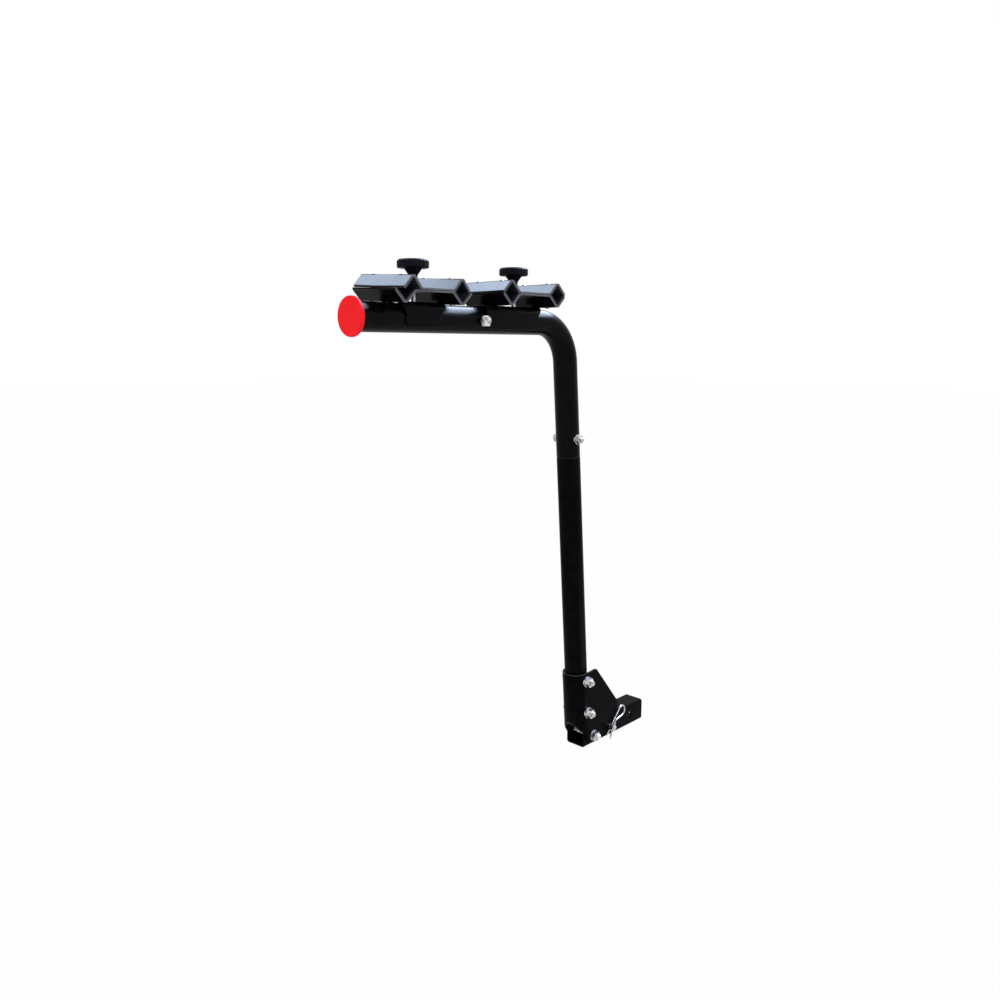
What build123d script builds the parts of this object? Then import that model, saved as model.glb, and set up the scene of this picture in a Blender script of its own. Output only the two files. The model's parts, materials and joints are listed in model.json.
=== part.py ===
from build123d import *
import math
import os

os.makedirs("parts", exist_ok=True)

# Hitch bike rack for four bicycles, in millimetres and degrees.
# X runs toward the vehicle, Y across it and Z up; the origin is the centre of the hitch pin hole.

# Receiver shank, a 2 inch square tube
shank_side = 50.8
shank_wall = 4.8
shank_corner = 6.0
shank_length = 227.5
hitch_pin_bore = 16.3
hitch_pin_inset = 50.8
pivot_inset = 25.4
lock_spacing = 63.5

# Mast and arm, both from 2 inch round tube
tube_dia = 50.8
tube_wall = 3.0
tube_end_bevel = 1.5
mast_lean = 4.5
mast_setback = 16.75
mast_foot = 38.0
joint_height = 655.0
arm_height = 932.7
arm_length = 543.0
elbow_radius = 87.0

# Spigot that joins the two mast tubes
spigot_lower_length = 90.0
spigot_upper_length = 80.0
joint_bolt_rise = 38.5

# Folded bracket round the foot of the mast
bracket_plate = 4.8
bracket_side_gap = 0.4
bracket_top = 157.0
bracket_back_foot = 40.0
bracket_brow_reach = 37.3
bracket_nose_reach = 96.0
bracket_nose_height = 51.5
bracket_boss_radius = 18.0
bracket_soft_corner = 8.0
bracket_hard_corner = 2.0
bracket_bolt_low = 62.7
bracket_bolt_pitch = 76.2

# Fasteners: shank diameter, width across flats, head height, nut height, washer diameter
large_bolt = (12.7, 19.05, 8.0, 11.0, 24.5)
joint_bolt = (10.0, 17.0, 6.4, 8.4, 21.0)
washer_thickness = 2.4
bolt_clearance = 0.2
pivot_clearance = 0.08
nut_tail = 6.0
running_gap = 0.3
fit_gap = 0.1

# Bevel on bolt and pin tips as a share of the diameter, and angle of the bevel on hexagons
tip_bevel = 0.1
hexagon_bevel = 30.0

# Round head of the carriage bolts: diameter, height and length of the square neck
bracket_bolt_head = (26.0, 5.5, 4.5)
clamp_bolt_head = (20.5, 4.5, 3.0)
carriage_head_edge = 0.2

# Lock pin with a bent handle, and its spring clip
lock_pin_dia = 15.9
lock_pin_tail = 10.0
lock_handle_length = 36.0
lock_handle_bend = 14.0
clip_wire = 3.6
clip_angle = 48.0
clip_tail = 22.0
clip_loop_distance = 49.0
clip_loop_radius = 12.0
clip_loop_exit = 125.0
clip_pinch_height = 7.0
clip_bow_radius = 7.0
clip_standoff = 1.8
clip_tail_rise = 1.7

# Red cap on the end of the arm
cap_dia = 67.5
cap_flange = 6.3
cap_plug_length = 26.0
cap_edge = 2.0
cap_rib_count = 8
cap_rib = 1.6

# Saddles that carry the clamps on the arm
saddle_plate = 2.0
saddle_side_gap = 1.6
saddle_corner = 12.0
saddle_skirt = 16.0
saddle_half_length = 38.5
saddle_flare_height = 5.0
saddle_flare_reach = 16.0
rear_saddle_tail = 130.5
saddle_bolt_offset = -109.0
saddle_bolt_drop = 2.0

# Bike clamps, each a pair of jaws with two V channels
front_clamp_inset = 132.5
clamp_spacing = 256.5
front_jaw_swivel = 8.0
front_jaw_rock = 2.8
jaw_plate = 3.0
jaw_length = 115.0
channel_offset = 65.0
channel_half_width = 23.0
channel_depth = 19.5
channel_bend = 4.0
jaw_lip = 1.8
jaw_corner = 4.0
jaw_bolt_gap = 0.6
jaw_gap = 0.6
channel_slope = 45.0
liner_thickness = 2.4
liner_lead = 0.15
liner_rib_count = 4
liner_rib = 1.0
liner_rib_pitch = 5.4
rivet_spread = 31.0
rivet_dia = 4.8
rivet_head_dia = 9.0
rivet_head_height = 1.8
rivet_crown_dia = 5.4
rivet_rim_height = 0.63
rivet_bead_dia = 5.5
rivet_bead_drop = 1.0

# Clamp bolts and hand knobs
clamp_bolt_dia = 10.0
clamp_bolt_hole = 24.0
clamp_bolt_length = 69.0
clamp_washer_dia = 25.0
clamp_washer_thickness = 2.0
knob_dia = 56.0
knob_rim = 14.5
knob_dish = 2.0
knob_dish_outer = 0.55
knob_dish_inner = 0.45
knob_cone_dia = 33.0
knob_cone_height = 12.0
knob_stem_dia = 16.0
knob_stem_height = 19.0
knob_flute_count = 20
knob_flute_radius = 3.2
knob_flute_depth = 1.0
knob_edge = 1.5
insert_across = 12.0
insert_depth = 28.0

# Places worked out from the sizes above
half_side = shank_side / 2
tube_radius = tube_dia / 2
shank_front = hitch_pin_inset
shank_rear = shank_front - shank_length
pivot_x = shank_rear + pivot_inset
lock_x = pivot_x + lock_spacing
bracket_inner = max(half_side, tube_radius) + bracket_side_gap
bracket_outer = bracket_inner + bracket_plate
bracket_back = mast_setback + bracket_outer
lean = math.radians(mast_lean)
bracket_bolt_heights = (bracket_bolt_low, bracket_bolt_low + bracket_bolt_pitch)
mast_frame = Pos(pivot_x, 0, 0) * Rot(0, -mast_lean, 0)
mast_line_x = pivot_x - mast_setback * math.cos(lean)
mast_line_z = -mast_setback * math.sin(lean)
elbow_x = mast_line_x - (arm_height - mast_line_z) * math.tan(lean)
arm_end = elbow_x - arm_length
front_clamp_x = arm_end + front_clamp_inset
rear_clamp_x = front_clamp_x + clamp_spacing
saddle_inner_top = tube_radius + fit_gap
saddle_half_width = tube_radius + saddle_side_gap + saddle_plate
saddle_top = arm_height + saddle_inner_top + saddle_plate
channel_flat = channel_half_width - channel_depth / math.tan(math.radians(channel_slope))
jaw_drop = channel_depth + jaw_plate / 2
front_lips = arm_height + tube_radius + running_gap + jaw_drop
rear_lips = saddle_top + jaw_drop
clamps = {"front": (front_clamp_x, front_lips, front_jaw_swivel, front_jaw_rock),
          "rear": (rear_clamp_x, rear_lips, 0.0, 0.0)}

ON_BASE = (Align.CENTER, Align.CENTER, Align.MIN)


def extrude_y(profile, y_near, y_far):
    """A profile of X and Z, extruded between two planes of Y."""
    return Pos(0, y_far, 0) * extrude(Plane.XZ * profile, amount=y_far - y_near)


def rod_y(diameter, y_near, y_far, x=0.0, z=0.0):
    """A round rod along Y."""
    rod = Rot(-90, 0, 0) * Cylinder(diameter / 2, y_far - y_near, align=ON_BASE)
    return Pos(x, y_near, z) * rod


def turned(points):
    """A solid of revolution about Z from radius and height pairs."""
    return revolve(Plane.XZ * make_face(Polyline(*points, close=True)), axis=Axis.Z)


def toward_y(y, x=0.0, z=0.0, sign=1):
    """A place whose local Z points along Y, away from the part when sign is right."""
    return Plane(origin=(x, y, z), x_dir=(1, 0, 0), z_dir=(0, sign, 0)).location


def hex_blank(across, height):
    """A hexagon standing on Z = 0 with the corners of its top turned off."""
    corner = across / math.sqrt(3)
    fall = (corner - across / 2) * math.tan(math.radians(hexagon_bevel))
    prism = extrude(RegularPolygon(across / 2, 6, major_radius=False), height)
    return prism & turned([(0, 0), (corner, 0), (corner, height - fall), (across / 2, height), (0, height)])


def hex_bolt(size, length):
    """A hexagon bolt with its head on Z = 0 and its shank below."""
    diameter, across, head = size[0], size[1], size[2]
    tip = diameter * tip_bevel
    shank = turned([(0, 0), (diameter / 2, 0), (diameter / 2, tip - length),
                    (diameter / 2 - tip, -length), (0, -length)])
    return hex_blank(across, head) + shank


def hex_nut(size):
    """A hexagon nut standing on Z = 0, chamfered on both faces."""
    diameter, across, height = size[0], size[1], size[3]
    flipped = Pos(0, 0, height) * Rot(180, 0, 0) * hex_blank(across, height)
    return (hex_blank(across, height) & flipped) - Cylinder(diameter / 2 + fit_gap, 3 * height)


def flat_washer(outer, bore, thickness):
    """A flat washer standing on Z = 0."""
    return Cylinder(outer / 2, thickness, align=ON_BASE) - Cylinder(bore / 2, 3 * thickness)


def bolt_bore(size):
    return size[0] + 2 * bolt_clearance


def carriage_bolt(diameter, head, length):
    """A bolt with a domed head on Z = 0 and a square neck and shank below."""
    radius, rise, neck = head[0] / 2, head[1], head[2]
    tip = diameter * tip_bevel
    crown = (radius * radius + rise * rise) / (2 * rise)
    edge = rise * carriage_head_edge
    dome = Pos(0, 0, rise - crown) * Sphere(crown) & Cylinder(radius - edge, rise, align=ON_BASE)
    shank = turned([(0, 0), (diameter / 2, 0), (diameter / 2, tip - length),
                    (diameter / 2 - tip, -length), (0, -length)])
    square = Pos(0, 0, -neck) * Box(diameter, diameter, neck, align=ON_BASE)
    return dome + shank + square


def cross_bolts(size, grip, places, washer_gap=0.0):
    """Hexagon bolts along Y through a width of grip: heads on the far side, nuts on the near side."""
    seat = grip / 2 + washer_gap
    face = seat + washer_thickness
    bolt = hex_bolt(size, 2 * face + size[3] + nut_tail)
    ring = flat_washer(size[4], bolt_bore(size), washer_thickness)
    bolts = [toward_y(face, x, z) * bolt for x, z in places]
    nuts = [toward_y(-face, x, z, -1) * hex_nut(size) for x, z in places]
    washers = [toward_y(side * seat, x, z, side) * ring for x, z in places for side in (-1, 1)]
    return Compound(bolts), Compound(nuts), Compound(washers)


def cross_carriage_bolts(size, head, grip, places):
    """Carriage bolts along Y, their domed heads straight on the far face."""
    face = grip / 2 + washer_thickness
    bolt = carriage_bolt(size[0], head, grip / 2 + face + size[3] + nut_tail)
    ring = flat_washer(size[4], bolt_bore(size), washer_thickness)
    bolts = [toward_y(grip / 2, x, z) * bolt for x, z in places]
    nuts = [toward_y(-face, x, z, -1) * hex_nut(size) for x, z in places]
    washers = [toward_y(-grip / 2, x, z, -1) * ring for x, z in places]
    return Compound(bolts), Compound(nuts), Compound(washers)


def receiver_shank():
    """Square tube that slides into the receiver, open at both ends."""
    outer = RectangleRounded(shank_side, shank_side, shank_corner)
    hollow = shank_side - 2 * shank_wall
    section = outer - RectangleRounded(hollow, hollow, max(shank_corner - shank_wall, 0.5))
    tube = Pos(shank_rear, 0, 0) * extrude(Plane.YZ * section, shank_length)
    bores = ((0, hitch_pin_bore), (lock_x, lock_pin_dia + 2 * bolt_clearance),
             (pivot_x, large_bolt[0] + 2 * bolt_clearance))
    for x, bore in bores:
        tube -= rod_y(bore, -shank_side, shank_side, x)
    return tube


def lock_pin():
    """Straight pin through shank and bracket, bent down at the far side."""
    start = bracket_outer + lock_handle_bend + lock_pin_dia / 2
    tip = -(bracket_outer + clip_standoff + clip_wire + lock_pin_tail)
    path = FilletPolyline((lock_x, tip, 0), (lock_x, start, 0), (lock_x, start, -lock_handle_length),
                          radius=lock_handle_bend)
    section = Plane(origin=(lock_x, tip, 0), x_dir=(1, 0, 0), z_dir=(0, 1, 0)) * Circle(lock_pin_dia / 2)
    pin = sweep(section, path=path)
    ends = pin.edges().filter_by(GeomType.CIRCLE)
    pin = chamfer(ends.group_by(Axis.Y)[0], lock_pin_dia * tip_bevel)
    hole = clip_frame() * Rot(0, 90, 0) * Cylinder(clip_wire / 2 + bolt_clearance, 2 * lock_pin_dia)
    return pin - hole


def clip_frame():
    """The clip's own frame: X along its straight leg toward the loop, Y toward its bowed leg."""
    y = -(bracket_outer + clip_standoff + clip_wire / 2)
    along = math.radians(clip_angle)
    return Plane(origin=(lock_x, y, 0), x_dir=(math.cos(along), 0, math.sin(along)), z_dir=(0, 1, 0)).location


def spring_clip():
    """Hairpin clip: a straight leg through the pin, a loop, and a leg bowed to ride over the pin."""
    wire = clip_wire / 2
    bow = lock_pin_dia / 2 + wire + 4 * running_gap
    straight = Line((-clip_tail, 0), (clip_loop_distance, 0))
    ring = CenterArc((clip_loop_distance, clip_loop_radius), clip_loop_radius, -90, 90 + clip_loop_exit)
    leave, way = ring @ 1, ring % 1
    pinch = leave + way * ((clip_pinch_height - leave.Y) / way.Y)
    bowed = FilletPolyline(leave, pinch, (bow / 2, bow), (-bow / 2, bow), (-clip_tail, clip_tail_rise * bow),
                           radius=clip_bow_radius)
    route = clip_frame() * Wire([*straight.edges(), *ring.edges(), *bowed.edges()])
    section = Plane(origin=route @ 0, z_dir=route % 0) * Circle(wire)
    return sweep(section, path=route)


def bracket_outline():
    """Side view of the bracket in the mast's frame, rounded at each corner."""
    soft = bracket_soft_corner
    hard = bracket_hard_corner
    nose = bracket_nose_reach - bracket_boss_radius
    corners = ((hard - bracket_back, bracket_top - hard, hard),
               (bracket_brow_reach - mast_setback - soft / 2, bracket_top - soft, soft),
               (bracket_nose_reach - soft, bracket_nose_height - soft / 2, soft),
               (nose, -nose * math.tan(lean), bracket_boss_radius), (0, 0, bracket_boss_radius),
               (hard - bracket_back, bracket_back_foot + hard, hard))
    rounds = ShapeList([(Pos(x, z) * Circle(radius)).edge() for x, z, radius in corners])
    return make_hull(rounds)


def lock_slot():
    """Slot that the lock pin leaves through when the mast tilts, along its arc about the pivot."""
    width = lock_pin_dia + 2 * bracket_side_gap
    start = -mast_lean
    sweep_angle = math.degrees((bracket_boss_radius + width) / lock_spacing)
    arc = CenterArc((0, 0), lock_spacing, start, -sweep_angle)
    return SlotArc(arc, width)


def wrap_profile(half_width):
    """Plan of the bracket's outer or inner face: round behind the mast, straight beside it."""
    reach = bracket_nose_reach + mast_setback
    sides = Pos(reach / 2 - mast_setback, 0) * Rectangle(reach, 2 * half_width)
    return sides + Pos(-mast_setback, 0) * Circle(half_width)


def mast_bracket():
    """Plate wrapped round the back of the mast, with a wide flange on each side."""
    plan = wrap_profile(bracket_outer) - wrap_profile(bracket_inner)
    plate = Pos(0, 0, -bracket_top) * extrude(plan, 3 * bracket_top)
    bracket = plate & extrude_y(bracket_outline() - lock_slot(), -bracket_outer, bracket_outer)
    bracket -= rod_y(large_bolt[0] + 2 * pivot_clearance, -shank_side, shank_side)
    bracket -= rod_y(2 * math.hypot(half_side, pivot_inset) + 2 * bracket_side_gap, -bracket_inner, bracket_inner)
    for height in bracket_bolt_heights:
        bracket -= rod_y(bolt_bore(large_bolt), -shank_side, 0, -mast_setback, height)
        square = Pos(-mast_setback, half_side, height) * Box(bolt_bore(large_bolt), shank_side, bolt_bore(large_bolt))
        bracket -= square
    return mast_frame * bracket


def tube_end(radius, wall, toward):
    """Cutter that bevels the rim of a tube whose end lies on Z = 0."""
    rim = turned([(radius - tube_end_bevel, 0), (radius + wall, 0), (radius + wall, -wall), (radius, -tube_end_bevel)])
    return rim if toward > 0 else Rot(180, 0, 0) * rim


def lower_mast_tube():
    """Lower half of the mast, bolted into the bracket."""
    length = joint_height - mast_foot
    tube = Cylinder(tube_radius, length, align=ON_BASE) - Cylinder(tube_radius - tube_wall, 3 * length)
    tube -= Pos(0, 0, length) * tube_end(tube_radius, tube_wall, 1)
    tube = Pos(-mast_setback, 0, mast_foot) * tube
    for height in bracket_bolt_heights:
        tube -= rod_y(bolt_bore(large_bolt), -tube_dia, tube_dia, -mast_setback, height)
    return mast_frame * tube


def mast_spigot():
    """Inner tube welded into the lower mast and bolted in the upper one."""
    radius = tube_radius - tube_wall - fit_gap
    length = spigot_lower_length + spigot_upper_length
    tube = Cylinder(radius, length, align=ON_BASE) - Cylinder(radius - tube_wall, 3 * length)
    tube = Pos(-mast_setback, 0, joint_height - spigot_lower_length) * tube
    bolt_height = joint_height + joint_bolt_rise
    return mast_frame * (tube - rod_y(bolt_bore(joint_bolt), -tube_dia, tube_dia, -mast_setback, bolt_height))


def upper_arm_tube():
    """Upper mast and arm in one bent tube."""
    joint = mast_frame * Pos(-mast_setback, 0, joint_height)
    start = joint.position
    upward = Vector(-math.sin(lean), 0, math.cos(lean))
    path = FilletPolyline(start, (elbow_x, 0, arm_height), (arm_end, 0, arm_height), radius=elbow_radius)
    section = Circle(tube_radius) - Circle(tube_radius - tube_wall)
    tube = sweep(Plane(origin=start, z_dir=upward) * section, path=path)
    tube -= joint * tube_end(tube_radius, tube_wall, -1)
    tube -= mast_frame * rod_y(bolt_bore(joint_bolt), -tube_dia, tube_dia, -mast_setback,
                               joint_height + joint_bolt_rise)
    tube -= rod_y(bolt_bore(large_bolt), -tube_dia, tube_dia, rear_clamp_x + saddle_bolt_offset,
                  arm_height - saddle_bolt_drop)
    for x in (front_clamp_x, rear_clamp_x):
        tube -= Pos(x, 0, arm_height) * Cylinder(clamp_bolt_hole / 2, tube_dia, align=ON_BASE)
    return tube


def arm_end_cap():
    """Round cap with a ribbed plug that presses into the end of the arm."""
    flange = Cylinder(cap_dia / 2, cap_flange, align=ON_BASE)
    flange = fillet(flange.edges().group_by(Axis.Z)[-1], cap_edge)
    plug_radius = tube_radius - tube_wall - fit_gap - cap_rib
    cap = flange + Pos(0, 0, -cap_plug_length) * Cylinder(plug_radius, cap_plug_length, align=ON_BASE)
    rib = Box(cap_rib, 2 * cap_rib, cap_plug_length, align=(Align.CENTER, Align.CENTER, Align.MAX))
    for place in PolarLocations(plug_radius, cap_rib_count):
        cap += place * Rot(0, 0, 90) * rib
    cap -= Pos(0, 0, -cap_plug_length) * Cylinder(plug_radius - 2 * cap_rib, cap_plug_length, align=ON_BASE)
    return Pos(arm_end, 0, arm_height) * Rot(0, -90, 0) * cap


def saddle_plan(half_width, corner):
    """Section of the saddle's outer or inner face, closed far below the arm."""
    height = 2 * tube_dia
    top = saddle_inner_top + half_width + saddle_plate - saddle_half_width
    return Pos(0, top - height / 2) * RectangleRounded(2 * half_width, height, corner)


def saddle(tail=0.0):
    """Folded channel over the arm, origin under its clamp; tail runs on toward the arm's end."""
    inner_half, inner_corner = saddle_half_width - saddle_plate, saddle_corner - saddle_plate
    section = saddle_plan(saddle_half_width, saddle_corner) - saddle_plan(inner_half, inner_corner)
    channel = Pos(-2 * tube_dia, 0, 0) * extrude(Plane.YZ * section, 4 * tube_dia)
    half, flare, top = saddle_half_length, saddle_half_length + saddle_flare_reach, saddle_inner_top + saddle_plate
    front = [(-half, -saddle_skirt), (-half, saddle_flare_height), (-flare, top)]
    if tail:
        front = [(-tail, -saddle_skirt), (-tail, top)]
    rear = [(flare, top), (half, saddle_flare_height), (half, -saddle_skirt)]
    outline = make_face(Polyline(*front, *rear, close=True))
    neck = clamp_bolt_dia + 2 * bolt_clearance
    body = channel & extrude_y(outline, -saddle_half_width, saddle_half_width)
    return body - Box(neck, neck, tube_dia, align=ON_BASE)


def front_saddle():
    """Welded to the arm."""
    return on_arm(front_clamp_x) * saddle()


def rear_saddle():
    """Fixed to the arm by the cross bolt."""
    hole = rod_y(bolt_bore(large_bolt), -tube_dia, tube_dia, saddle_bolt_offset, -saddle_bolt_drop)
    return on_arm(rear_clamp_x) * (saddle(rear_saddle_tail) - hole)


def on_arm(x):
    return Pos(x, 0, arm_height)


def clamp_bolt(clamp_x):
    """Carriage bolt that stands in the saddle, its round head inside the arm."""
    bolt = carriage_bolt(clamp_bolt_dia, clamp_bolt_head, clamp_bolt_length)
    return on_arm(clamp_x) * Pos(0, 0, saddle_inner_top) * Rot(180, 0, 0) * bolt


def channel_points(offset, height):
    """Corners of one V channel, from foot to foot, at a height above the lips."""
    return [(offset - channel_half_width, 0), (offset - channel_flat, height),
            (offset + channel_flat, height), (offset + channel_half_width, 0)]


def jaw_plan():
    """One jaw seen along Y, with its lips on the middle line Z = 0."""
    end = channel_offset + channel_half_width + jaw_lip
    points = [(-end, 0), *channel_points(-channel_offset, channel_depth),
              *channel_points(channel_offset, channel_depth), (end, 0)]
    return trace(FilletPolyline(*points, radius=channel_bend), line_width=jaw_plate)


def jaw_places():
    """Rivet places on one jaw: both channels, two along each."""
    return [(side * channel_offset, end * rivet_spread) for side in (-1, 1) for end in (-1, 1)]


def jaw_body():
    """Pressed plate with two V channels and a flat web, apex up, lips on Z = 0."""
    jaw = extrude_y(jaw_plan(), -jaw_length / 2, jaw_length / 2)
    width = 2 * (channel_offset + channel_half_width + jaw_lip)
    jaw &= Pos(0, 0, -channel_depth) * extrude(RectangleRounded(width, jaw_length, jaw_corner), 3 * channel_depth)
    jaw -= Cylinder(clamp_bolt_dia / 2 + jaw_bolt_gap, 4 * jaw_plate)
    for x, y in jaw_places():
        jaw -= Pos(x, y, 0) * Cylinder(rivet_dia / 2 + fit_gap, 2 * channel_depth, align=ON_BASE)
    return jaw


def liner_plan():
    """Section of one rubber liner: a V strip with ribs along its inner faces."""
    step = jaw_plate / 2 + fit_gap + liner_thickness / 2
    shift = step * math.tan(math.radians(channel_slope / 2))
    height = channel_depth - step
    flat = channel_flat - shift
    low = -jaw_plate / 2 - liner_lead
    foot = flat + height - low
    line = FilletPolyline((-foot, low), (-flat, height), (flat, height), (foot, low), radius=channel_bend - step)
    strip = trace(line, line_width=liner_thickness)
    run = math.hypot(foot - flat, height - low)
    for side in (-1, 1):
        for index in range(liner_rib_count):
            along = (run - liner_rib_pitch * (liner_rib_count - 1)) / 2 + index * liner_rib_pitch
            spot = Pos(side * (foot - along * math.sqrt(0.5)), low + along * math.sqrt(0.5))
            rib = Pos(0, -liner_thickness / 2) * Rectangle(2 * liner_rib, 2 * liner_rib)
            strip += spot * Rot(0, 0, -side * channel_slope) * rib
    above = Pos(0, low + channel_depth) * Rectangle(4 * channel_depth, 2 * channel_depth)
    return strip & above


def liner_pair():
    """The two liners of one jaw, apex up."""
    strips = []
    for side in (-1, 1):
        strip = extrude_y(Pos(side * channel_offset, 0) * liner_plan(), -jaw_length / 2, jaw_length / 2)
        for x, y in jaw_places():
            strip -= Pos(x, y, 0) * Cylinder(rivet_dia / 2 + fit_gap, 2 * channel_depth, align=ON_BASE)
        strips.append(strip)
    return strips


def jaw_rivets():
    """Rivets through jaw and liner, apex up: a domed head outside and a flat one inside."""
    outside = channel_depth + jaw_plate / 2
    inside = channel_depth - jaw_plate / 2 - fit_gap - liner_thickness - rivet_bead_drop
    radius, head, shank = rivet_head_dia / 2, rivet_head_height, rivet_dia / 2
    rivet = turned([(0, inside), (shank, inside), (shank, outside), (radius, outside),
                    (radius, outside + rivet_rim_height), (rivet_crown_dia / 2, outside + head), (0, outside + head)])
    rivet += Pos(0, 0, inside - head / 2) * Cylinder(rivet_bead_dia / 2, head / 2, align=ON_BASE)
    return [Pos(x, y, 0) * rivet for x, y in jaw_places()]


def insert_blank(across, height):
    return extrude(RegularPolygon(across / 2, 6, major_radius=False), height)


def knob():
    """Moulded hand knob: a fluted rim over a cone and a stem, hollow for its threaded insert."""
    rim, cone, stem = knob_dia / 2, knob_cone_dia / 2, knob_stem_dia / 2
    low, high = knob_stem_height, knob_stem_height + knob_cone_height
    top = high + knob_rim
    edge = knob_edge
    body = turned([(0, 0), (stem, 0), (stem, low), (cone, high), (rim - edge, high), (rim, high + edge),
                   (rim, top - 2 * edge), (rim - 2 * edge, top), (rim * knob_dish_outer, top - knob_dish / 4),
                   (rim * knob_dish_inner, top - knob_dish), (0, top - knob_dish)])
    flute = Cylinder(knob_flute_radius, 2 * knob_rim)
    ring = rim + knob_flute_radius - knob_flute_depth
    cutters = [Pos(0, 0, top) * place * flute for place in PolarLocations(ring, knob_flute_count)]
    bore = Cylinder(clamp_bolt_dia / 2 + running_gap, top - 2 * edge, align=ON_BASE)
    return body - cutters - bore - insert_blank(insert_across + 2 * fit_gap, insert_depth)


def knob_insert():
    """Hexagonal steel insert that runs on the clamp bolt."""
    return insert_blank(insert_across, insert_depth) - Cylinder(clamp_bolt_dia / 2 + fit_gap, 3 * insert_depth)


def placed(place, solids):
    return Compound([place * solid for solid in solids])


def pivot_group():
    """Pivot bolt with its washers clear of the bracket, so that the bracket can turn."""
    return cross_bolts(large_bolt, 2 * bracket_outer, [(pivot_x, 0)], running_gap)


def bracket_group():
    places = [(-mast_setback, height) for height in bracket_bolt_heights]
    groups = cross_carriage_bolts(large_bolt, bracket_bolt_head, 2 * bracket_outer, places)
    return [mast_frame * group for group in groups]


def joint_group():
    """Bolt through the mast joint; its washers bear on the round tube."""
    groups = cross_bolts(joint_bolt, tube_dia, [(-mast_setback, joint_height + joint_bolt_rise)])
    return [mast_frame * group for group in groups]


def saddle_group():
    """Cross bolt of the rear saddle, without washers, its head on the near side."""
    bolt = hex_bolt(large_bolt, 2 * saddle_half_width + large_bolt[3] + nut_tail)
    place = on_arm(rear_clamp_x + saddle_bolt_offset) * Pos(0, 0, -saddle_bolt_drop)
    return (place * toward_y(-saddle_half_width, sign=-1) * bolt,
            place * toward_y(saddle_half_width) * hex_nut(large_bolt))


nodes = {"receiver_shank": receiver_shank(), "lock_pin": lock_pin(), "lock_pin_clip": spring_clip(),
         "mast_bracket": mast_bracket(), "lower_mast_tube": lower_mast_tube(), "mast_spigot": mast_spigot(),
         "upper_arm_tube": upper_arm_tube(), "arm_end_cap": arm_end_cap(),
         "front_saddle": front_saddle(), "rear_saddle": rear_saddle()}
nodes["pivot_bolt"], nodes["pivot_nut"], nodes["pivot_washers"] = pivot_group()
nodes["bracket_bolts"], nodes["bracket_nuts"], nodes["bracket_washers"] = bracket_group()
nodes["mast_joint_bolt"], nodes["mast_joint_nut"], nodes["mast_joint_washers"] = joint_group()
nodes["saddle_bolt"], nodes["saddle_nut"] = saddle_group()

for name, (clamp_x, lips, swivel, rock) in clamps.items():
    web = Pos(clamp_x, 0, lips) * Rot(rock, 0, 0)
    lower = web * Rot(180, 0, 0)
    upper = web * Pos(0, 0, jaw_plate + jaw_gap) * Rot(0, 0, swivel)
    web_top = web * Pos(0, 0, 1.5 * jaw_plate + jaw_gap)
    rock_rise = knob_stem_dia / 2 * math.tan(math.radians(rock))
    knob_base = Pos(clamp_x, 0, web_top.position.Z + clamp_washer_thickness + running_gap + rock_rise)
    nodes[f"{name}_clamp_bolt"] = clamp_bolt(clamp_x)
    nodes[f"{name}_lower_jaw"] = lower * jaw_body()
    nodes[f"{name}_lower_liners"] = placed(lower, liner_pair())
    nodes[f"{name}_lower_rivets"] = placed(lower, jaw_rivets())
    nodes[f"{name}_upper_jaw"] = upper * jaw_body()
    nodes[f"{name}_upper_liners"] = placed(upper, liner_pair())
    nodes[f"{name}_upper_rivets"] = placed(upper, jaw_rivets())
    washer = flat_washer(clamp_washer_dia, clamp_bolt_dia + 2 * jaw_bolt_gap, clamp_washer_thickness)
    nodes[f"{name}_clamp_washer"] = web_top * washer
    nodes[f"{name}_knob"] = knob_base * knob()
    nodes[f"{name}_knob_insert"] = knob_base * knob_insert()

for name, shape in nodes.items():
    export_step(shape, f"parts/{name}.step")
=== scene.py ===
import json
import math

import bmesh
import bpy
from mathutils import Matrix, Vector


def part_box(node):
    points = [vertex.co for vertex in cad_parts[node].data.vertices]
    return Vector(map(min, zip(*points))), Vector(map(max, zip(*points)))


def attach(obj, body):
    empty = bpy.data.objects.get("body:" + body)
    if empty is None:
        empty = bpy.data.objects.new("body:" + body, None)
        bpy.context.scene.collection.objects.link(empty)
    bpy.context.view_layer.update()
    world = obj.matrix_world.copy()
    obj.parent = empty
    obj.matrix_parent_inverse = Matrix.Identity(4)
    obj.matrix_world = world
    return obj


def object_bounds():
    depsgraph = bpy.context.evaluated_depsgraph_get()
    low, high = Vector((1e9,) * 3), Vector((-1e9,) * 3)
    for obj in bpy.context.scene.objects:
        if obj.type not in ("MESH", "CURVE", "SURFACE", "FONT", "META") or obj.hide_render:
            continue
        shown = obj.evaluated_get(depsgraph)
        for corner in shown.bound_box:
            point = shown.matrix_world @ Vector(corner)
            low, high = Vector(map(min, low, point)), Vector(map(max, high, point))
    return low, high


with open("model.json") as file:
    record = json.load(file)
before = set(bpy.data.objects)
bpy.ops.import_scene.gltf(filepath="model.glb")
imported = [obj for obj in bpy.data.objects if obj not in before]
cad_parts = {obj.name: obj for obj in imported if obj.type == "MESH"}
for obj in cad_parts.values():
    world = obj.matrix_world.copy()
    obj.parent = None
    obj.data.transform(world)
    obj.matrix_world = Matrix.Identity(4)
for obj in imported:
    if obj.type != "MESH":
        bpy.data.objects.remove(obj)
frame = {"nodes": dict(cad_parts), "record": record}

cad_box = [list(corner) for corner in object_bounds()]

# Camera, as worked out from the photograph: metres, degrees, and millimetres for sensor and lens
CAMERA_PLACE = Vector((-1.68667, -1.20129, 0.88381))
CAMERA_AZIMUTH = 43.757
CAMERA_DOWN = 9.847
CAMERA_ROLL = -0.143
SENSOR_WIDTH = 36.0
LENS = 31.767

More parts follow.
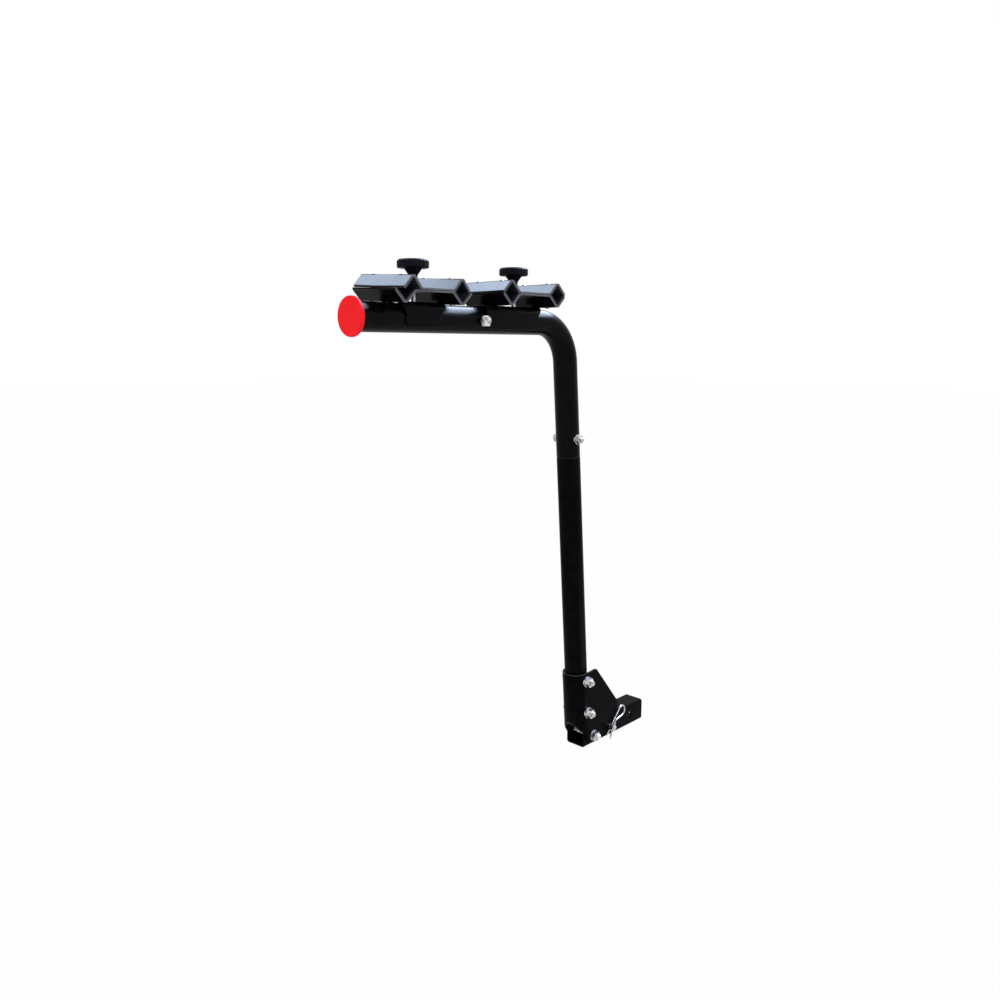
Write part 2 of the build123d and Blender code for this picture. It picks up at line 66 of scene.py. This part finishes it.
# The rack, in metres and degrees
MAST_LEAN = 4.5
BRACKET_BOLT_SPACING = 0.0762
ARM_RADIUS = 0.0254
SADDLE_HALF_LENGTH = 0.0385
LARGE_BOLT_RADIUS = 0.00635
SMALL_BOLT_RADIUS = 0.005

# Threads, in metres; the half width is a share of the pitch, the tip a share of the bolt's radius
LARGE_PITCH = 0.0020
SMALL_PITCH = 0.0015
THREAD_RISE = 0.00025
THREAD_HALF_WIDTH = 0.42
THREAD_SIDES = 20
BARE_TIP = 0.24
NUT_REACH = 0.0065
CLAMP_THREAD_START = 3 * SMALL_PITCH

# Weld beads, in metres and in degrees up the arm's side
WELD_RADIUS = 0.0022
WELD_REACH = 0.0268
WELD_START = -17
WELD_END = 10
WELD_RIPPLES = 7
WELD_RIPPLE_RISE = 0.12
WELD_TAPER = 4
WELD_LEAST_AREA = 0.05
WELD_RINGS = 42
WELD_SIDES = 10

# Broken edges and the liners' swell, in metres and degrees
EDGE_WIDTH = 0.0005
TUBE_EDGE_WIDTH = 0.0012
EDGE_SEGMENTS = 2
EDGE_ANGLE = 50
JOIN_DISTANCE = EDGE_WIDTH / 50
LINER_SWELL = 0.0001

# The part of a noise's range that roughness and colour follow
NOISE_RANGE = (0.3, 0.7)
PATCH_RANGE = (0.35, 0.65)

# Painted highlights: greys painted on the coat where an edge or end face would catch the light
PAINTED_END_HIGHLIGHT_GREY = (0.13, 0.135, 0.155)
PAINTED_RIM_HIGHLIGHT_GREY = (0.060, 0.060, 0.064)

# Nodes whose material isn't their slot's plain one, by the end of the node's name
COATS = {"_upper_jaw": "jaw_coat", "_lower_jaw": "low_jaw_coat", "arm_tube": "arm_coat",
         "saddle": "arm_coat", "mast_tube": "tube_coat", "_bracket": "bracket_coat",
         "pivot_bolt": "dull_zinc_painted_light"}

# Studio: the floor in metres, how much of it is plain white where it's seen, and the panels' tint
FLOOR_DROP = 0.45
FLOOR_SIZE = 60
FLOOR_COLOUR = (0.9, 0.9, 0.9, 1)
FLOOR_ROUGHNESS = 0.9
FLOOR_WHITE = 0.88
WHITE = (1, 1, 1, 1)
COOL = (0.62, 0.76, 1.0)


def shader(name, metallic=0.0, specular=0.5):
    """A new material, the tree that it stands in, and its principled shader."""
    material = bpy.data.materials.new(name)
    material.use_nodes = True
    tree = material.node_tree
    main = tree.nodes["Principled BSDF"]
    main.inputs["Metallic"].default_value = metallic
    main.inputs["Specular IOR Level"].default_value = specular
    return material, tree, main


def noise(tree, scale, detail):
    """Noise in the object's own metres; scale is in spots per metre."""
    place = tree.nodes.new("ShaderNodeTexCoord")
    pattern = tree.nodes.new("ShaderNodeTexNoise")
    pattern.inputs["Scale"].default_value = scale
    pattern.inputs["Detail"].default_value = detail
    tree.links.new(place.outputs["Object"], pattern.inputs["Vector"])
    return pattern.outputs["Fac"]


def spread(tree, value, low, high, start, end):
    """Maps a value between start and end onto a range."""
    ramp = tree.nodes.new("ShaderNodeMapRange")
    ramp.inputs["From Min"].default_value = start
    ramp.inputs["From Max"].default_value = end
    ramp.inputs["To Min"].default_value = low
    ramp.inputs["To Max"].default_value = high
    tree.links.new(value, ramp.inputs["Value"])
    return ramp.outputs["Result"]


def tint(tree, value, colours, socket):
    """Mixes two colours by a value into a socket."""
    ramp = tree.nodes.new("ShaderNodeValToRGB")
    for element, position, colour in zip(ramp.color_ramp.elements, PATCH_RANGE, colours):
        element.position = position
        element.color = (*colour, 1)
    tree.links.new(value, ramp.inputs["Fac"])
    tree.links.new(ramp.outputs["Color"], socket)


def relief(tree, bumps, socket):
    """Bumps into a normal socket, each on the one before: scale, detail, strength and depth."""
    under = None
    for scale, detail, strength, depth in bumps:
        bump = tree.nodes.new("ShaderNodeBump")
        bump.inputs["Strength"].default_value = strength
        bump.inputs["Distance"].default_value = depth
        tree.links.new(noise(tree, scale, detail), bump.inputs["Height"])
        if under:
            tree.links.new(under, bump.inputs["Normal"])
        under = bump.outputs["Normal"]
    tree.links.new(under, socket)


def finish(name, colours, patches, roughness, spots, bumps, metallic=0.0, specular=0.5):
    """A material with two colours in patches, a range of roughness in spots, and bumps.

    patches and spots are each the scale and detail of a noise, and bumps are what relief takes.
    """
    material, tree, main = shader(name, metallic, specular)
    dullness = spread(tree, noise(tree, *spots), *roughness, *NOISE_RANGE)
    tree.links.new(dullness, main.inputs["Roughness"])
    tint(tree, noise(tree, *patches), colours, main.inputs["Base Color"])
    relief(tree, bumps, main.inputs["Normal"])
    return material


def black_coat(name="black_coat", gloss=0.02, peel=0.10, smooth=0.30):
    """Powder coat: orange peel with a finer grain on it, and slightly duller patches."""
    return finish(name, specular=gloss,
                  colours=((0.0012, 0.0013, 0.0016), (0.0024, 0.0025, 0.0032)), patches=(60, 2),
                  roughness=(smooth, smooth * 1.25), spots=(35, 2),
                  bumps=[(420, 1, peel, 0.0003), (1800, 2, peel / 2, 0.0001)])


def paint_highlight_faces(material, axis, start, end, highlight_grey):
    """Paints a highlight: turns a coat grey where a surface faces along one of the object's axes.
    """
    tree = material.node_tree
    main = tree.nodes["Principled BSDF"]
    coat = main.inputs["Base Color"].links[0].from_socket
    place = tree.nodes.new("ShaderNodeTexCoord")
    split = tree.nodes.new("ShaderNodeSeparateXYZ")
    tree.links.new(place.outputs["Normal"], split.inputs["Vector"])
    size = tree.nodes.new("ShaderNodeMath")
    size.operation = "ABSOLUTE"
    tree.links.new(split.outputs[axis], size.inputs[0])
    mix = tree.nodes.new("ShaderNodeMix")
    mix.data_type = "RGBA"
    tree.links.new(spread(tree, size.outputs[0], 0, 1, start, end), mix.inputs["Factor"])
    tree.links.new(coat, mix.inputs["A"])
    mix.inputs["B"].default_value = (*highlight_grey, 1)
    tree.links.new(mix.outputs["Result"], main.inputs["Base Color"])
    return material


def coat_with_painted_end_highlight(name, gloss, peel, smooth):
    """The jaws' coat, with a painted highlight in grey on their end faces."""
    return paint_highlight_faces(black_coat(name, gloss, peel, smooth), axis="Y", start=0.85, end=0.97,
                      highlight_grey=PAINTED_END_HIGHLIGHT_GREY)


def tube_coat():
    """The lower mast tube's coat, with a painted highlight in grey on its rim."""
    return paint_highlight_faces(black_coat("tube_coat"), axis="Z", start=0.4, end=0.7, highlight_grey=PAINTED_RIM_HIGHLIGHT_GREY)


def bracket_coat():
    """The bracket's coat, with a painted highlight in grey on its top edge."""
    return paint_highlight_faces(black_coat("bracket_coat"), axis="Z", start=0.93, end=0.99, highlight_grey=PAINTED_RIM_HIGHLIGHT_GREY)


def zinc(name="zinc", smooth=0.18, dark=(0.26, 0.28, 0.33), light=(0.80, 0.79, 0.76)):
    """Zinc plate: fine grain, bright warm patches and dull blue ones."""
    return finish(name, metallic=1.0,
                  colours=(dark, light), patches=(170, 2),
                  roughness=(smooth, smooth + 0.18), spots=(500, 3),
                  bumps=[(2500, 2, 0.12, 0.0001)])


def rubber():
    """Moulded rubber with a fine grain, a soft sheen and a little dust."""
    return finish("rubber", specular=0.4,
                  colours=((0.013, 0.015, 0.021), (0.024, 0.027, 0.037)), patches=(150, 4),
                  roughness=(0.36, 0.48), spots=(220, 2),
                  bumps=[(3000, 3, 0.25, 0.0001)])


def knob_plastic():
    """Moulded black plastic with a spark-eroded grain."""
    return finish("black_plastic", specular=0.06,
                  colours=((0.004, 0.004, 0.008), (0.007, 0.007, 0.013)), patches=(120, 2),
                  roughness=(0.42, 0.6), spots=(300, 3),
                  bumps=[(2600, 2, 0.3, 0.0001)])


def red_plastic():
    """Soft red vinyl of the end cap."""
    return finish("red_plastic", specular=0.06,
                  colours=((0.88, 0.009, 0.014), (0.92, 0.011, 0.018)), patches=(50, 2),
                  roughness=(0.36, 0.5), spots=(180, 3),
                  bumps=[(1500, 2, 0.12, 0.0001)])


def skin(mesh, rows):
    """Faces between rings of points, and a cap at each end."""
    for low, high in zip(rows, rows[1:]):
        for index in range(len(low)):
            after = (index + 1) % len(low)
            mesh.faces.new((low[index], low[after], high[after], high[index]))
    mesh.faces.new(rows[0][::-1])
    mesh.faces.new(rows[-1])


def add_piece(name, mesh, place, material, body):
    """A smooth piece from a bmesh, which rides on a body and takes the given material."""
    data = bpy.data.meshes.new(name)
    mesh.to_mesh(data)
    mesh.free()
    for face in data.polygons:
        face.use_smooth = True
    data.materials.append(material)
    piece = bpy.data.objects.new(name, data)
    bpy.context.scene.collection.objects.link(piece)
    piece.matrix_world = place
    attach(piece, body)


def helix(radius, pitch, length):
    """Mesh of a thread's ridge round Z, from Z = 0 up; its foot lies inside the bolt."""
    mesh = bmesh.new()
    steps = int(length / pitch * THREAD_SIDES)
    rows = []
    for step in range(steps + 1):
        turn = 2 * math.pi * step / THREAD_SIDES
        height = pitch * step / THREAD_SIDES
        fade = min(1.0, step / THREAD_SIDES, (steps - step) / THREAD_SIDES)
        profile = ((-THREAD_RISE, -THREAD_HALF_WIDTH), (fade * THREAD_RISE, 0),
                   (-THREAD_RISE, THREAD_HALF_WIDTH))
        row = []
        for rise, offset in profile:
            reach = radius + rise
            point = (reach * math.cos(turn), reach * math.sin(turn), height + offset * pitch)
            row.append(mesh.verts.new(point))
        rows.append(row)
    skin(mesh, rows)
    return mesh


def thread(name, body, start, along, radius, pitch, length, material):
    """A thread ridge on a bolt's end, from its start along a direction."""
    turn = Vector(along).to_track_quat("Z", "Y").to_matrix().to_4x4()
    place = Matrix.Translation(start) @ turn
    add_piece(name, helix(radius, pitch, length), place, material, body)


def middle(node):
    """The middle of a node's box."""
    low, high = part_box(node)
    return (low + high) / 2


def cross_threads(material):
    """Threads on the free ends of the bolts that run along Y."""
    lean = math.radians(MAST_LEAN)
    up_mast = Vector((-math.sin(lean), 0, math.cos(lean)))
    step = up_mast * (BRACKET_BOLT_SPACING / 2)
    near, far = Vector((0, -1, 0)), Vector((0, 1, 0))
    large, small = (LARGE_BOLT_RADIUS, LARGE_PITCH), (SMALL_BOLT_RADIUS, SMALL_PITCH)
    ends = [("pivot_thread", "shank", "pivot_bolt", Vector(), near, large),
            ("bracket_low_thread", "mast", "bracket_bolts", -step, near, large),
            ("bracket_high_thread", "mast", "bracket_bolts", step, near, large),
            ("joint_thread", "mast", "mast_joint_bolt", Vector(), near, small),
            ("saddle_thread", "mast", "saddle_bolt", Vector(), far, large)]
    for name, body, node, offset, way, (radius, pitch) in ends:
        low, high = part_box(node)
        tip = low.y if way.y < 0 else high.y
        start = middle(node) + offset
        start.y = tip - way.y * NUT_REACH
        length = NUT_REACH - BARE_TIP * radius
        thread(name, body, start, way, radius, pitch, length, material)


def clamp_threads(material):
    """Threads along the clamp bolts, above the saddles."""
    for side in ("front", "rear"):
        bolt = f"{side}_clamp_bolt"
        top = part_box(bolt)[1].z
        saddle_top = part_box(f"{side}_saddle")[1].z
        start = middle(bolt)
        start.z = saddle_top + CLAMP_THREAD_START
        length = top - start.z - SMALL_PITCH
        thread(f"{side}_clamp_thread", "mast", start, (0, 0, 1), SMALL_BOLT_RADIUS, SMALL_PITCH,
               length, material)


def weld_bead(mesh, x, side, arm_height):
    """A rippled bead up the arm's side, where the saddle's skirt ends."""
    rows = []
    for ring in range(WELD_RINGS + 1):
        share = ring / WELD_RINGS
        turn = math.radians(WELD_START + share * (WELD_END - WELD_START))
        outward = Vector((0, side * math.cos(turn), math.sin(turn)))
        centre = Vector((x, 0, arm_height)) + WELD_REACH * outward
        ripple = 1 + WELD_RIPPLE_RISE * math.cos(2 * math.pi * WELD_RIPPLES * share)
        area = max(WELD_LEAST_AREA, 1 - (2 * share - 1) ** WELD_TAPER)
        radius = WELD_RADIUS * ripple * math.sqrt(area)
        row = []
        for step in range(WELD_SIDES):
            angle = 2 * math.pi * step / WELD_SIDES
            around = Vector((math.cos(angle), 0, 0)) + math.sin(angle) * outward
            row.append(mesh.verts.new(centre + radius * around))
        rows.append(row)
    skin(mesh, rows)


def saddle_welds(material):
    """The four beads that hold the front saddle, which has no cross bolt."""
    arm_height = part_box("upper_arm_tube")[1].z - ARM_RADIUS
    clamp_x = middle("front_saddle").x
    beads = bmesh.new()
    for end in (-1, 1):
        for side in (-1, 1):
            weld_bead(beads, clamp_x + end * SADDLE_HALF_LENGTH, side, arm_height)
    bmesh.ops.recalc_face_normals(beads, faces=beads.faces)
    add_piece("front_saddle_welds", beads, Matrix(), material, "mast")


def dress_nodes(materials):
    """Gives each CAD node its material, sheet metal and tube broken edges, and liners a swell."""
    for part in frame["record"]["subparts"]:
        name = part["node"]
        piece = frame["nodes"][name]
        coat = next((coat for end, coat in COATS.items() if name.endswith(end)),
                    part["material_slot"])
        piece.data.materials.clear()
        piece.data.materials.append(materials[coat])
        if name.endswith(("_jaw", "_bracket", "_saddle")):
            break_edges(piece, EDGE_WIDTH)
        if name.endswith("_mast_tube"):
            break_edges(piece, TUBE_EDGE_WIDTH)
        if name.endswith("_liners"):
            swell(piece)


def swell(piece):
    """Lets rubber liners swell a little, so that pressed ones nearly meet."""
    bulge = piece.modifiers.new("swell", "DISPLACE")
    bulge.strength = LINER_SWELL
    bulge.mid_level = 0


def break_edges(piece, width):
    """Rounds the sharp edges of sheet metal or tube a little, so that they catch the light."""
    join = piece.modifiers.new("join", "WELD")
    join.merge_threshold = JOIN_DISTANCE
    bevel = piece.modifiers.new("broken_edges", "BEVEL")
    bevel.width = width
    bevel.segments = EDGE_SEGMENTS
    bevel.limit_method = "ANGLE"
    bevel.angle_limit = math.radians(EDGE_ANGLE)
    bevel.harden_normals = True


def studio(floor_height):
    """A white surround, two soft panels and a pale floor."""
    world = bpy.data.worlds.new("studio")
    bpy.context.scene.world = world
    world.use_nodes = True
    world.node_tree.nodes["Background"].inputs["Color"].default_value = WHITE
    soft_box("sky_panel", place=(-0.54, 2.14, 3.48), target=(-0.53, 0, 0.98),
             width=1.3, height=0.8, power=45)
    soft_box("side_panel", place=(1.30, -0.15, 2.66), target=(-0.45, 0, 0.95),
             width=2.2, height=1.2, power=330)
    floor(floor_height)


def seen_straight(tree):
    """1 for camera, glossy and transmission rays, and 0 for the rays that light the object."""
    path = tree.nodes.new("ShaderNodeLightPath")
    total = path.outputs["Is Camera Ray"]
    for ray in ("Is Glossy Ray", "Is Transmission Ray"):
        add = tree.nodes.new("ShaderNodeMath")
        add.operation = "MAXIMUM"
        tree.links.new(total, add.inputs[0])
        tree.links.new(path.outputs[ray], add.inputs[1])
        total = add.outputs[0]
    return total


def soft_box(name, place, target, width, height, power):
    """A cool panel that shows in glossy surfaces and adds no light to colours."""
    lamp = bpy.data.lights.new(name, "AREA")
    lamp.shape = "RECTANGLE"
    lamp.size = width
    lamp.size_y = height
    lamp.energy = power
    lamp.color = COOL
    piece = bpy.data.objects.new(name, lamp)
    piece.location = place
    way = Vector(target) - Vector(place)
    piece.rotation_mode = "QUATERNION"
    piece.rotation_quaternion = way.to_track_quat("-Z", "Y")
    piece.visible_camera = False
    piece.visible_diffuse = False
    bpy.context.scene.collection.objects.link(piece)


def floor(height):
    """A floor that shows as nearly white and keeps a faint shadow."""
    material, tree, main = shader("floor", specular=0.0)
    main.inputs["Base Color"].default_value = FLOOR_COLOUR
    main.inputs["Roughness"].default_value = FLOOR_ROUGHNESS
    glow = tree.nodes.new("ShaderNodeEmission")
    glow.inputs["Color"].default_value = WHITE
    mix = tree.nodes.new("ShaderNodeMixShader")
    tree.links.new(spread(tree, seen_straight(tree), 0, FLOOR_WHITE, 0, 1), mix.inputs["Fac"])
    tree.links.new(main.outputs["BSDF"], mix.inputs[1])
    tree.links.new(glow.outputs["Emission"], mix.inputs[2])
    tree.links.new(mix.outputs["Shader"], tree.nodes["Material Output"].inputs["Surface"])
    bpy.ops.mesh.primitive_plane_add(size=FLOOR_SIZE, location=(0, 0, height))
    plane = bpy.context.object
    plane.name = "floor"
    plane.data.materials.append(material)


def camera():
    """The photograph's viewpoint."""
    data = bpy.data.cameras.new("camera")
    data.sensor_width = SENSOR_WIDTH
    data.lens = LENS
    piece = bpy.data.objects.new("camera", data)
    bpy.context.scene.collection.objects.link(piece)
    azimuth, down = math.radians(CAMERA_AZIMUTH), math.radians(CAMERA_DOWN)
    level = Vector((math.cos(azimuth), math.sin(azimuth), 0))
    way = math.cos(down) * level - Vector((0, 0, math.sin(down)))
    roll = Matrix.Rotation(math.radians(CAMERA_ROLL), 3, way)
    right = roll @ way.cross(Vector((0, 0, 1))).normalized()
    up = right.cross(way)
    turn = Matrix((right, up, -way)).transposed()
    piece.matrix_world = Matrix.Translation(CAMERA_PLACE) @ turn.to_4x4()
    bpy.context.scene.camera = piece


materials = {"black_coat": black_coat(),
             "arm_coat": black_coat("arm_coat", gloss=0.045, peel=0.08, smooth=0.24),
             "jaw_coat": coat_with_painted_end_highlight("jaw_coat", gloss=0.16, peel=0.04, smooth=0.16),
             "low_jaw_coat": coat_with_painted_end_highlight("low_jaw_coat", gloss=0.04, peel=0.06, smooth=0.24),
             "tube_coat": tube_coat(),
             "bracket_coat": bracket_coat(),
             "zinc": zinc(),
             # Painted light: the pivot bolt's zinc is rougher and painted lighter than the rest,
             # so that the bolt in the shade of the shank's opening shows bright
             "dull_zinc_painted_light": zinc("dull_zinc_painted_light", smooth=0.62, dark=(0.66, 0.67, 0.70),
                               light=(0.86, 0.85, 0.82)),
             "rubber": rubber(),
             "black_plastic": knob_plastic(),
             "red_plastic": red_plastic()}
dress_nodes(materials)
cross_threads(materials["zinc"])
clamp_threads(materials["zinc"])
saddle_welds(materials["arm_coat"])
bpy.context.scene.view_settings.view_transform = "Standard"
studio(cad_box[0][2] - FLOOR_DROP)
camera()
